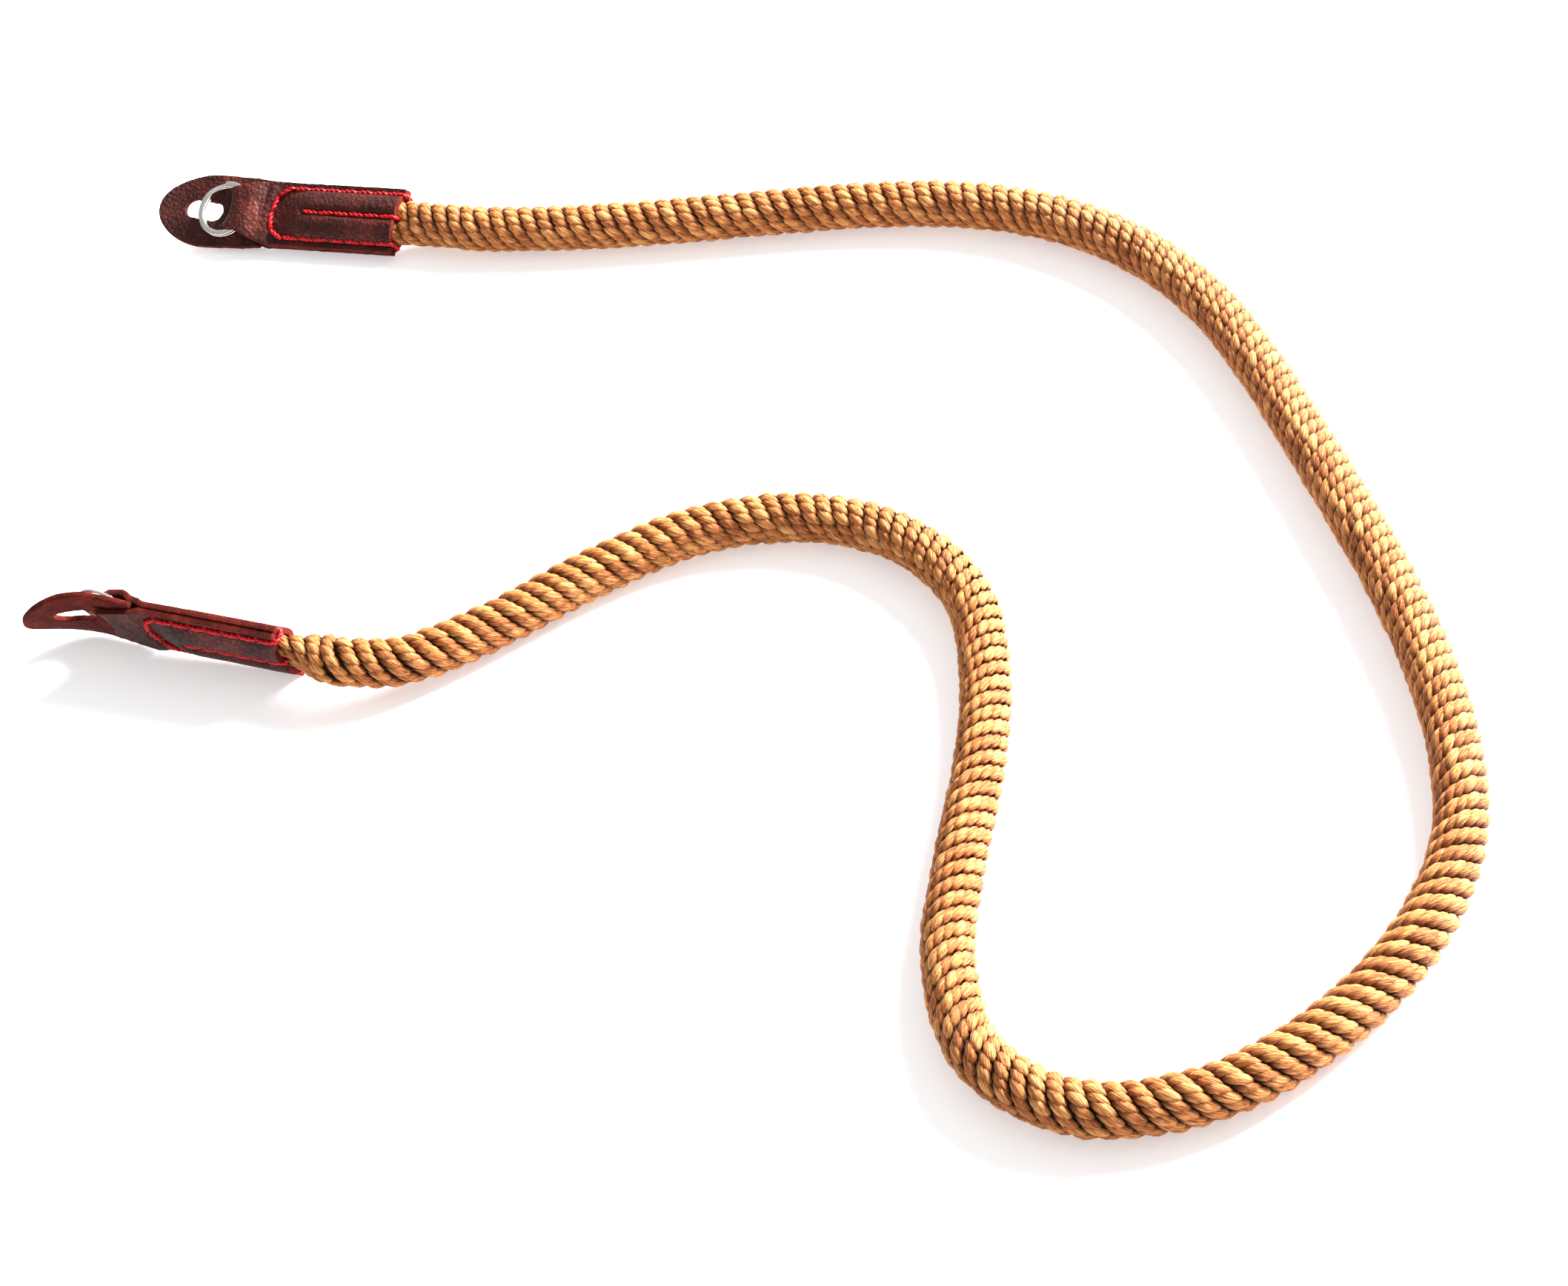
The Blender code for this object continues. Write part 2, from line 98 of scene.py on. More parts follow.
far, near = end_frames["far"], end_frames["near"]
shoulder_start = -rope_shoulder - mouth_gap
lead_in = [rope_in_pocket, shoulder_start, shoulder_start - rope_diameter / 2.0]
bends = [far @ Vector((x, 0.0, 0.0)) for x in lead_in]
bends += [Vector(point) for point in route]
bends += [near @ Vector((x, 0.0, 0.0)) for x in reversed(lead_in)]
curve = bpy.data.curves.new("rope_route", "CURVE")
curve.dimensions = "3D"
curve.twist_mode = "Z_UP"
curve.resolution_u = 24
last = len(bends) - 1
spline = curve.splines.new("BEZIER")
spline.bezier_points.add(last)
handle_in_lead = 0.0018
for index, point in enumerate(spline.bezier_points):
    before, here, after = bends[max(index - 1, 0)], bends[index], bends[min(index + 1, last)]
    slope = (after - before) / 6.0
    if index < 2 or index > last - 2:
        inner = bends[2] - bends[1] if index < 2 else bends[-2] - bends[-3]
        slope = inner.normalized() * handle_in_lead
    point.co = here
    point.handle_left_type = point.handle_right_type = "FREE"
    point.handle_left = here - slope
    point.handle_right = here + slope
rope_guide = bpy.data.objects.new("rope_guide", curve)
bpy.context.scene.collection.objects.link(rope_guide)

# One float is a plump pad on the rope's round, leaning right-handed. Its blunt head lies over
# its neighbour and its narrow tail under the next one. Two of them, on opposite sides, make one
# level of the braid.
float_stations, float_columns = 6, 5
head_taper, tail_taper, taper_power = 0.50, 0.78, 2.8
flatter_ends = 0.25
ends_sink, tail_sinks_more = 0.0008, 0.0004
rope_radius = rope_diameter / 2.0
pad = bmesh.new()
strand_uv = pad.loops.layers.uv.new("strand")
for half_turn in (0.0, math.pi):
    grid = []
    for i in range(float_stations):
        along = 2.0 * i / (float_stations - 1) - 1.0
        row = []
        for j in range(float_columns):
            round_angle = math.pi * j / (float_columns - 1)
            taper = head_taper if along < 0.0 else tail_taper
            width = float_width / 2.0 * (1.0 - taper * abs(along) ** taper_power)
            y = -width * math.cos(round_angle)
            x = along * float_length / 2.0
            lift = float_height * math.sin(round_angle) * (1.0 - flatter_ends * along**2)
            sunk = ends_sink * along**2 + tail_sinks_more * along
            radius = rope_radius - float_height - sunk + lift
            s = x * math.cos(float_lean) - y * math.sin(float_lean)
            round_rope = x * math.sin(float_lean) + y * math.cos(float_lean)
            angle = round_rope / rope_radius + half_turn
            row.append(pad.verts.new((radius * math.cos(angle), radius * math.sin(angle), s)))
        grid.append(row)
    for i in range(float_stations - 1):
        for j in range(float_columns - 1):
            places = ((i, j), (i + 1, j), (i + 1, j + 1), (i, j + 1))
            face = pad.faces.new([grid[a][b] for a, b in places])
            for loop, (a, b) in zip(face.loops, places):
                loop[strand_uv].uv = (a / (float_stations - 1), b / (float_columns - 1))
    rim = [grid[i][0] for i in range(float_stations)]
    rim += [grid[-1][j] for j in range(1, float_columns)]
    rim += [grid[i][-1] for i in range(float_stations - 2, -1, -1)]
    rim += [grid[0][j] for j in range(float_columns - 2, 0, -1)]
    pad.faces.new(rim)
bmesh.ops.recalc_face_normals(pad, faces=pad.faces)
pad_mesh = bpy.data.meshes.new("braid_level")
pad.to_mesh(pad_mesh)
pad.free()
pad_mesh.shade_smooth()


def show(name, mesh):
    """Put a finished mesh in the scene at the origin."""
    made = bpy.data.objects.new(name, mesh)
    bpy.context.scene.collection.objects.link(made)
    return made


pad_object = show("braid_level", pad_mesh)


def linear(code):
    """Linear colour of an sRGB hex value."""
    parts = [int(code[i : i + 2], 16) / 255.0 for i in (0, 2, 4)]
    return tuple(((c + 0.055) / 1.055) ** 2.4 if c > 0.04045 else c / 12.92 for c in parts) + (1.0,)


def add(tree, kind, links=None, inputs=None, stops=(), **settings):
    """Add a node with its settings, its own values, its links and its colour stops."""
    node = tree.nodes.new(kind)
    for name, value in settings.items():
        setattr(node, name, value)
    for name, value in (inputs or {}).items():
        node.inputs[name].default_value = value
    for name, source in (links or {}).items():
        tree.links.new(source, node.inputs[name])
    for index, (stop, code) in enumerate(stops):
        colours = node.color_ramp.elements
        if index == len(colours):
            colours.new(stop)
        colours[index].position = stop
        colours[index].color = linear(code)
    return node


def new_material(name, **values):
    """Material with its Principled shader, whose fixed values are set on its own sockets."""
    made = bpy.data.materials.new(name)
    made.use_nodes = True
    shader = made.node_tree.nodes["Principled BSDF"]
    for key, value in values.items():
        shader.inputs[key.replace("_", " ")].default_value = value
    return made, made.node_tree, shader


# Braided cotton: soft yarn with a warm tan dye, each float a little lighter or darker, with
# filaments along it, drawn coarser than real ones so that they show. The gaps between floats are
# painted dark brown as painted shade.
cotton, tree, shader = new_material(
    "braided_cotton", Roughness=0.6, Sheen_Weight=0.06, Sheen_Roughness=0.4,
    Specular_IOR_Level=0.22,
)
shader.inputs["Sheen Tint"].default_value = linear("FFE2B0")
across_float, along_float, yarn_shift = 15.0, 2.6, 90.0
level_share = 0.2
uv = add(tree, "ShaderNodeUVMap", uv_map="strand")
tone = add(tree, "ShaderNodeAttribute", attribute_name="tone")
split = add(tree, "ShaderNodeSeparateXYZ", {"Vector": uv.outputs["UV"]})
strands = add(
    tree, "ShaderNodeMapping", {"Vector": uv.outputs["UV"]},
    {"Scale": (along_float, across_float, 1.0)},
)
own = add(tree, "ShaderNodeMath", {0: tone.outputs["Fac"]}, {1: yarn_shift}, operation="MULTIPLY")
filament = add(
    tree, "ShaderNodeTexNoise", {"Vector": strands.outputs["Vector"], "W": own.outputs[0]},
    {"Scale": 1.0, "Detail": 3.0, "Roughness": 0.65}, noise_dimensions="4D",
)
part_tone = add(
    tree, "ShaderNodeMath", {0: tone.outputs["Fac"]}, {1: level_share}, operation="MULTIPLY",
)
dyed = add(
    tree, "ShaderNodeMath", {0: filament.outputs["Fac"], 2: part_tone.outputs[0]},
    {1: 1.0 - level_share}, operation="MULTIPLY_ADD",
)
yarn = add(
    tree, "ShaderNodeValToRGB", {"Fac": dyed.outputs[0]},
    stops=((0.37, "733615"), (0.5, "C07036"), (0.63, "E6A864")),
).outputs["Color"]
edge = add(tree, "ShaderNodeMath", {0: split.outputs["Y"]}, {1: 0.5}, operation="SUBTRACT")
edge = add(tree, "ShaderNodeMath", {0: edge.outputs[0]}, operation="ABSOLUTE")
# Painted shade: a float darkens towards both sides, down its tail and at the rim of its head, where
# it meets its neighbours
painted_shade_fades = []
for source, start, full in (
    (edge.outputs[0], 0.28, 0.50),
    (split.outputs["X"], 0.52, 0.88),
    (split.outputs["X"], 0.08, 0.0),
):
    fade = add(tree, "ShaderNodeMapRange", {"Value": source}, {"From Min": start, "From Max": full})
    painted_shade_fades.append(fade.outputs["Result"])
side, tail, head = painted_shade_fades
ends = add(tree, "ShaderNodeMath", {0: tail, 1: head}, operation="MAXIMUM")
deep = add(tree, "ShaderNodeMath", {0: side, 1: ends.outputs[0]}, operation="MAXIMUM")
# Dark brown mixed in as painted shade where the floats meet
shaded = add(
    tree, "ShaderNodeMix", {0: deep.outputs[0], 6: yarn}, {7: linear("42200D")}, data_type="RGBA",
)
tree.links.new(shaded.outputs[2], shader.inputs["Base Color"])
lines = add(
    tree, "ShaderNodeBump", {"Height": filament.outputs["Fac"]},
    {"Strength": 1.0, "Distance": 0.0006},
)
tree.links.new(lines.outputs["Normal"], shader.inputs["Normal"])

# Core yarn, seen only in the gaps between the floats; its dark brown is painted shade
core_fibre = 0.00067
core_yarn, tree, shader = new_material(
    "cotton_core_in_shade", Roughness=0.95, Specular_IOR_Level=0.05,
)
place = add(tree, "ShaderNodeTexCoord").outputs["Object"]
fibres = add(
    tree, "ShaderNodeTexNoise", {"Vector": place}, {"Scale": 1.0 / core_fibre, "Detail": 2.0},
)
shade = add(
    tree, "ShaderNodeValToRGB", {"Fac": fibres.outputs["Fac"]},
    stops=((0.3, "260F06"), (0.7, "48230F")),
)
tree.links.new(shade.outputs["Color"], shader.inputs["Base Color"])

# Braid: the levels follow the route evenly and turn a fixed angle from one to the next
braid = bpy.data.node_groups.new("braid", "GeometryNodeTree")
for name, kind in (
    ("Route", "Geometry"), ("Level", "Object"), ("Count", "Int"), ("Turn", "Float"),
    ("Core Radius", "Float"), ("Seed", "Int"), ("Cotton", "Material"), ("Core", "Material"),
):
    braid.interface.new_socket(name, in_out="INPUT", socket_type=f"NodeSocket{kind}")
braid.interface.new_socket("Rope", in_out="OUTPUT", socket_type="NodeSocketGeometry")
given = add(braid, "NodeGroupInput").outputs
line = add(braid, "GeometryNodeResampleCurve", {"Curve": given["Route"], "Count": given["Count"]})
spots = add(braid, "GeometryNodeCurveToPoints", {"Curve": line.outputs["Curve"]}, mode="EVALUATED")
level = add(braid, "GeometryNodeObjectInfo", {"Object": given["Level"]})
index = add(braid, "GeometryNodeInputIndex")
size = add(braid, "FunctionNodeRandomValue", {"Seed": given["Seed"]}, {2: 0.975, 3: 1.03})
placed = add(braid, "GeometryNodeInstanceOnPoints", {
    "Points": spots.outputs["Points"], "Instance": level.outputs["Geometry"],
    "Rotation": spots.outputs["Rotation"], "Scale": size.outputs[1],
})
angle = add(
    braid, "ShaderNodeMath", {0: index.outputs["Index"], 1: given["Turn"]}, operation="MULTIPLY",
)
wobble = add(braid, "FunctionNodeRandomValue", {"Seed": given["Seed"]}, {2: -0.03, 3: 0.03})
angle = add(
    braid, "ShaderNodeMath", {0: angle.outputs[0], 1: wobble.outputs[1]}, operation="ADD",
)
around = add(braid, "ShaderNodeCombineXYZ", {"Z": angle.outputs[0]})
turned = add(braid, "GeometryNodeRotateInstances", {
    "Instances": placed.outputs["Instances"], "Rotation": around.outputs["Vector"],
})
random_tone = add(braid, "FunctionNodeRandomValue", {"Seed": given["Seed"]}, {2: 0.25, 3: 0.75})
stored = add(
    braid, "GeometryNodeStoreNamedAttribute",
    {"Geometry": turned.outputs["Instances"], "Value": random_tone.outputs[1]},
    {"Name": "tone"}, domain="INSTANCE",
)
real = add(braid, "GeometryNodeRealizeInstances", {"Geometry": stored.outputs["Geometry"]})
dyed = add(braid, "GeometryNodeSetMaterial", {
    "Geometry": real.outputs["Geometry"], "Material": given["Cotton"],
})
# The core tube, in its dark painted-shade material, shows only between the floats
circle = add(
    braid, "GeometryNodeCurvePrimitiveCircle", {"Radius": given["Core Radius"]}, {"Resolution": 10},
)
few = add(braid, "GeometryNodeResampleCurve", {"Curve": given["Route"]}, {"Count": 260})
tube = add(
    braid, "GeometryNodeCurveToMesh",
    {"Curve": few.outputs["Curve"], "Profile Curve": circle.outputs["Curve"]}, {"Fill Caps": True},
)
dark = add(braid, "GeometryNodeSetMaterial", {
    "Geometry": tube.outputs["Mesh"], "Material": given["Core"],
})
both = add(braid, "GeometryNodeJoinGeometry")
braid.links.new(dyed.outputs["Geometry"], both.inputs[0])
braid.links.new(dark.outputs["Geometry"], both.inputs[0])
finished = add(braid, "NodeGroupOutput")
braid.links.new(both.outputs[0], finished.inputs[0])


def baked(source):
    """Plain mesh of an object with its modifiers applied."""
    bpy.context.view_layer.update()
    seen = source.evaluated_get(bpy.context.evaluated_depsgraph_get())
    return bpy.data.meshes.new_from_object(seen)


def grow(source, tree, values):
    """Plain mesh of an object with a node tree and its inputs on it."""
    nodes = source.modifiers.new(tree.name, "NODES")
    nodes.node_group = tree
    for item in tree.interface.items_tree:
        if item.in_out == "INPUT" and item.name in values:
            nodes[item.identifier] = values[item.name]
    source.update_tag()
    mesh = baked(source)
    source.modifiers.remove(nodes)
    return mesh


rope_length = spline.calc_length()
rope_levels = round(rope_length / braid_pitch * levels_in_pitch)
core_radius = 0.0045
rope_mesh = grow(rope_guide, braid, {
    "Level": pad_object, "Count": rope_levels, "Turn": level_turn, "Core Radius": core_radius,
    "Seed": 4, "Cotton": cotton, "Core": core_yarn,
})
bpy.data.objects.remove(pad_object)

# Pocket that the seams leave for the rope: two lobes beside the middle seam. The rope's
# round section turns into the pocket's flat one along its shoulder.
tab_width = 0.0185
pocket_width = 0.014
pocket_full, pocket_end = 0.027, 0.039
pocket_height = 0.0029
middle_seam = 0.029
pinch_depth, pinch_width, pinch_fade = 0.45, 0.0014, 0.0025


def smoothstep(low, high, value):
    """Smooth rise from 0 at low to 1 at high."""
    t = min(max((value - low) / (high - low), 0.0), 1.0)
    return t * t * (3.0 - 2.0 * t)


def lobe_height(x, y):
    """Half height of the pocket's bulge."""
    along = 1.0 - smoothstep(pocket_full, pocket_end, x)
    across = max(1.0 - (2.0 * y / pocket_width) ** 2, 0.0) ** 0.6
    seam = 1.0 - smoothstep(middle_seam - pinch_fade, middle_seam + pinch_fade, x)
    pinch = pinch_depth * seam * math.exp(-((y / pinch_width) ** 2))
    return pocket_height * along * across * (1.0 - pinch)


flat_half_width = pocket_width / 2.0 - 0.0006
for place in end_frames.values():
    back = place.inverted()
    for vertex in rope_mesh.vertices:
        local = back @ vertex.co
        near_axis = max(abs(local.y), abs(local.z)) < rope_diameter
        if -rope_shoulder < local.x < 0.02 and near_axis:
            share = smoothstep(-rope_shoulder, 0.0, local.x)
            radius = math.hypot(local.y, local.z)
            angle = math.atan2(local.z, local.y)
            flat_y = flat_half_width * math.cos(angle)
            flat_z = lobe_height(max(local.x, 0.0), flat_y) * (1.0 if local.z > 0 else -1.0)
            flat_z *= min(abs(math.sin(angle)) * 3.0, 1.0)
            depth = radius / rope_radius
            flat = Vector((local.x, flat_y * depth, flat_z * depth))
            vertex.co = place @ local.lerp(flat, share)
rope = show("braided_rope", rope_mesh)
for a, b in zip(spline.bezier_points, spline.bezier_points[1:]):
    for step in range(8):
        t = step / 8.0
        u = 1.0 - t
        start, end = u**3 * a.co, t**3 * b.co
bpy.data.objects.remove(rope_guide)
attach(rope, "root")
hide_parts("rope", "rope_end_far", "rope_end_near")

# Leather ends: one strip each, folded over the ring and through the flap, and sewn down
# over the rope. The outer face is pebbled grain, the inner one suede, and the cut edges are raw.
leather = 0.0015
tab_length = 0.053
fold_width, fold_depth, fold_hollow = 0.0112, 0.0032, 0.0016
flap_top = 0.00075
ring_past_fold = 0.0022
ring_radius = 0.008
ring_height = 0.00175
throat_down = flap_top + mouth_gap
throat_up = flap_top + ring_height + 2.0 * mouth_gap
fold_start = tab_length - fold_depth
flap_start = tab_length - 0.011
seam_inset = 0.0021
seam_round_end = 0.0400
seam_half = tab_width / 2.0 - seam_inset
stitch_pitch = 0.0050


def seam_line():
    """Points of the U seam round the pocket, and of the middle seam, at even steps."""
    bow = seam_half * 0.8
    straight = seam_round_end - bow
    points = [(straight * i / 60.0, seam_half) for i in range(61)]
    for i in range(1, 40):
        angle = math.pi / 2.0 - math.pi * i / 40.0
        points.append((straight + bow * math.cos(angle), seam_half * math.sin(angle)))
    points += [(straight * (1.0 - i / 60.0), -seam_half) for i in range(61)]
    return points, [(middle_seam * i / 50.0, 0.0) for i in range(51)]


def spaced(points, gap):
    """Places along a line at even steps close to the gap."""
    travelled = [0.0]
    for a, b in zip(points, points[1:]):
        travelled.append(travelled[-1] + math.dist(a, b))
    count = max(round(travelled[-1] / gap), 1)
    places, index = [], 0
    for step in range(count + 1):
        target = travelled[-1] * step / count
        while index < len(points) - 2 and travelled[index + 1] < target:
            index += 1
        share = (target - travelled[index]) / (travelled[index + 1] - travelled[index])
        a, b = points[index], points[index + 1]
        places.append((a[0] + (b[0] - a[0]) * share, a[1] + (b[1] - a[1]) * share))
    return places


u_seam, mid_seam = seam_line()
u_holes, mid_holes = spaced(u_seam, stitch_pitch), spaced(mid_seam, stitch_pitch)
fine_step = 0.0007
u_fine, mid_fine = spaced(u_seam, fine_step), spaced(mid_seam, fine_step)
groove_depth, groove_width = 0.00022, 0.0010
hole_depth, hole_width = 0.00030, 0.0007


def half_width(x):
    """Half width of the strip, which narrows from the pocket's end to the fold."""
    narrowed = smoothstep(pocket_end, tab_length, x)
    return (tab_width + (fold_width - tab_width) * narrowed) / 2.0


def layer_slip(x):
    """How far each layer is sewn off the strip's middle line, one way and the other."""
    return 0.00012 * (1.0 - smoothstep(0.03, 0.048, x))


def seam_dent(x, y):
    """How deep the thread has drawn the leather in: a groove, deeper at each hole."""
    if abs(x) > seam_round_end + 0.003:
        return 0.0
    groove = min(math.dist((x, y), p) for p in u_fine + mid_fine)
    hole = min(math.dist((x, y), p) for p in u_holes + mid_holes)
    pulled = groove_depth * math.exp(-((groove / groove_width) ** 2))
    return pulled + hole_depth * math.exp(-((hole / hole_width) ** 2))


def wrinkle(x, y, seed):
    """Creases across the strip between the seam's end and the fold, and a slight unevenness."""
    crease = smoothstep(0.036, 0.042, x) * (1.0 - smoothstep(0.047, 0.052, x))
    ridges = noise.noise(Vector((x * 900.0, y * 250.0, seed)))
    broad = noise.noise(Vector((x * 140.0, y * 160.0, seed + 5.0)))
    return 0.00016 * crease * ridges + 0.00010 * broad


# Grain leather: drum-milled, so it is covered with rounded pebbles between fine creases. Its
# finish is a thin satin coat, and the top of each pebble is painted a little lighter as a painted
# highlight.
pebble, pore, cloud, stray = 0.00118, 0.0003, 0.011, 0.0009
highlight_share, pore_share = 0.13, 0.25
grain, tree, shader = new_material("milled_grain_leather", Specular_IOR_Level=0.2)
place = add(tree, "ShaderNodeTexCoord").outputs["Object"]
sway = add(tree, "ShaderNodeTexNoise", {"Vector": place}, {"Scale": 0.83 / pebble, "Detail": 2.0})
sway = add(
    tree, "ShaderNodeVectorMath", {0: sway.outputs["Color"]}, {1: (stray,) * 3},
    operation="MULTIPLY",
)
bent = add(tree, "ShaderNodeVectorMath", {0: place, 1: sway.outputs["Vector"]}, operation="ADD")
pebbles = add(
    tree, "ShaderNodeTexVoronoi", {"Vector": bent.outputs["Vector"]},
    {"Scale": 1.0 / pebble, "Randomness": 0.85},
)
dome = add(
    tree, "ShaderNodeMapRange", {"Value": pebbles.outputs["Distance"]},
    {"From Min": 0.75, "From Max": 0.1}, interpolation_type="SMOOTHSTEP",
)
pores = add(tree, "ShaderNodeTexNoise", {"Vector": place}, {"Scale": 1.0 / pore, "Detail": 3.0})
patches = add(tree, "ShaderNodeTexNoise", {"Vector": place}, {"Scale": 1.0 / cloud, "Detail": 3.0})
# Painted highlight: the pebble tops are lighter in colour
pebble_highlight = add(
    tree, "ShaderNodeMath", {0: dome.outputs["Result"]}, {1: highlight_share}, operation="MULTIPLY",
)
tone = add(
    tree, "ShaderNodeMath", {0: patches.outputs["Fac"]}, {1: 1.0 - highlight_share},
    operation="MULTIPLY",
)
tone = add(tree, "ShaderNodeMath", {0: tone.outputs[0], 1: pebble_highlight.outputs[0]}, operation="ADD")
dye = add(
    tree, "ShaderNodeValToRGB", {"Fac": tone.outputs[0]},
    stops=((0.3, "260C0A"), (0.52, "421813"), (0.75, "642B22")),
)
tree.links.new(dye.outputs["Color"], shader.inputs["Base Color"])
gloss = add(
    tree, "ShaderNodeMapRange", {"Value": dome.outputs["Result"]},
    {"To Min": 0.65, "To Max": 0.48},
)
tree.links.new(gloss.outputs["Result"], shader.inputs["Roughness"])
height = add(
    tree, "ShaderNodeMath", {0: pores.outputs["Fac"]}, {1: pore_share}, operation="MULTIPLY",
)
height = add(
    tree, "ShaderNodeMath", {0: height.outputs[0], 1: dome.outputs["Result"]}, operation="ADD",
)
relief = add(
    tree, "ShaderNodeBump", {"Height": height.outputs[0]}, {"Strength": 0.7, "Distance": 0.00025},
)
tree.links.new(relief.outputs["Normal"], shader.inputs["Normal"])

# Suede and raw edges: loose fibres, a brighter red brown, no gloss and a soft fuzz of sheen
tuft, blot = 0.00055, 0.0038
suede, tree, shader = new_material(
    "suede_flesh_side", Roughness=0.95, Sheen_Weight=0.12, Sheen_Roughness=0.5,
    Specular_IOR_Level=0.15,
)
shader.inputs["Sheen Tint"].default_value = linear("A0402C")
place = add(tree, "ShaderNodeTexCoord").outputs["Object"]
nap = add(
    tree, "ShaderNodeTexNoise", {"Vector": place},
    {"Scale": 1.0 / tuft, "Detail": 5.0, "Roughness": 0.7},
)
blotch = add(tree, "ShaderNodeTexNoise", {"Vector": place}, {"Scale": 1.0 / blot, "Detail": 3.0})
both_tones = add(
    tree, "ShaderNodeMath", {0: nap.outputs["Fac"], 1: blotch.outputs["Fac"]}, operation="ADD",
)
both_tones = add(tree, "ShaderNodeMath", {0: both_tones.outputs[0]}, {1: 0.5}, operation="MULTIPLY")
dye = add(
    tree, "ShaderNodeValToRGB", {"Fac": both_tones.outputs[0]},
    stops=((0.32, "2A0806"), (0.5, "54150E"), (0.68, "7E2A1E")),
)
tree.links.new(dye.outputs["Color"], shader.inputs["Base Color"])
relief = add(
    tree, "ShaderNodeBump", {"Height": nap.outputs["Fac"]}, {"Strength": 0.8, "Distance": 0.0004},
)
tree.links.new(relief.outputs["Normal"], shader.inputs["Normal"])

tab_steps, fold_steps, tab_across = 96, 14, 36
fold_roundness = 2.0 / 2.6
opened_height = throat_down - mouth_gap / 2.0
ring_inner_reach = tab_length + ring_past_fold - ring_radius - mouth_gap
for side, seed in (("far", 3.0), ("near", 11.0)):
    place = end_frames[side]
    upper, lower = [], []
    for i in range(tab_steps + 1):
        x = fold_start * i / tab_steps
        top, bottom = [], []
        for j in range(tab_across + 1):
            share = 2.0 * j / tab_across - 1.0
            y = share * half_width(x)
            lobe = mouth_gap / 2.0 + lobe_height(x, y)
            down = lobe + smoothstep(pocket_end - mouth_gap, flap_start, x) * opened_height
            raised = smoothstep(flap_start, ring_inner_reach, x)
            up = down + raised * (throat_up - throat_down)
            level = leather / 2.0 - seam_dent(x, y)
            shift = x + fold_hollow * share**2 * smoothstep(flap_start, fold_start, x)
            ragged = 0.00012 * noise.noise(Vector((x * 500.0, share, seed))) * abs(share) ** 8
            slip = layer_slip(x)
            high, low = up + level + wrinkle(x, y, seed), down + level + wrinkle(x, y, seed + 9.0)
            top.append(Vector((shift, y + ragged + slip, high)))
            bottom.append(Vector((shift, y + ragged - slip, -low)))
        upper.append(top)
        lower.append(bottom)
    middle = (throat_up - throat_down) / 2.0
    height = (throat_up + throat_down + leather) / 2.0
    fold = []
    for step in range(1, fold_steps):
        angle = math.pi / 2.0 - math.pi * step / fold_steps
        reach = (fold_depth - leather / 2.0) * abs(math.cos(angle)) ** fold_roundness
        x = fold_start + reach
        rise = height * abs(math.sin(angle)) ** fold_roundness
        z = middle + math.copysign(rise, math.sin(angle))
        row = []
        for j in range(tab_across + 1):
            share = 2.0 * j / tab_across - 1.0
            shift = x + fold_hollow * share**2 * smoothstep(flap_start, fold_start, x)
            row.append(Vector((shift, share * half_width(x), z)))
        fold.append(row)
    rows = upper + fold + lower[::-1]
    sheet = bmesh.new()
    grid = [[sheet.verts.new(p) for p in row] for row in rows]
    for a_row, b_row in zip(grid, grid[1:]):
        for a, b, c, d in zip(a_row, a_row[1:], b_row[1:], b_row):
            sheet.faces.new((a, b, c, d))
    bmesh.ops.recalc_face_normals(sheet, faces=sheet.faces)
    if max(sheet.faces, key=lambda f: f.calc_center_median().z).normal.z < 0:
        bmesh.ops.reverse_faces(sheet, faces=sheet.faces)
    mesh = bpy.data.meshes.new("tab_sheet")
    sheet.to_mesh(mesh)
    sheet.free()
    blank = show("tab_blank", mesh)
    for stuff in (grain, suede):
        mesh.materials.append(stuff)
    wall = blank.modifiers.new("thickness", "SOLIDIFY")
    wall.thickness = leather
    wall.offset = 0.0
    wall.use_even_offset = True
    wall.material_offset = 1
    wall.material_offset_rim = 1
    soft = blank.modifiers.new("worn edges", "BEVEL")
    soft.width = 0.00025
    soft.segments = 2
    soft.limit_method = "ANGLE"
    soft.angle_limit = math.radians(50.0)
    made = baked(blank)
    bpy.data.objects.remove(blank)
    made.transform(place)
    made.shade_smooth()
    tab = show(f"leather_tab_{side}_sewn", made)
    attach(tab, "root")
    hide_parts(f"leather_tab_{side}")

# Guard flaps: an oval of the same leather, with a slit that the fold goes through and a slot
# for the lug. Cut with a die, so its edges are square and then worn soft.
flap_length, flap_width, flap_end_width, flap_fold_width = 0.035, 0.0214, 0.0194, 0.0205
tip_round = 0.017
slot_length, slot_width, slot_past_fold = 0.0123, 0.0054, 0.0098
slot_turn = math.radians(-6.0)
slit_half = fold_width / 2.0 + 0.0006
flap_tip = flap_start + flap_length
outline = [(flap_start, flap_end_width / 2.0), (flap_start + 0.0055, flap_fold_width / 2.0)]
for step in range(32):
    angle = math.pi / 2.0 * step / 32.0
    x = flap_tip - tip_round + tip_round * math.sin(angle)
    outline.append((x, flap_width / 2.0 * math.cos(angle)))
outline = outline + [(flap_tip, 0.0)] + [(x, -y) for x, y in outline[::-1]]
slot = []
slot_round = slot_width / 2.0
for facing in (1.0, -1.0):
    for step in range(17):
        angle = -facing * math.pi / 2.0 + math.pi * step / 16.0
        middle = facing * (slot_length / 2.0 - slot_round)
        point = Vector((middle + slot_round * math.cos(angle), slot_round * math.sin(angle)))
        point = Matrix.Rotation(slot_turn, 2) @ point
        slot.append((tab_length + slot_past_fold + point.x, point.y))
slit = [(fold_start + mouth_gap, slit_half), (fold_start + mouth_gap, -slit_half)]
for step in range(13):
    share = step / 6.0 - 1.0
    slit.append((tab_length + mouth_gap + fold_hollow * share**2, slit_half * share))
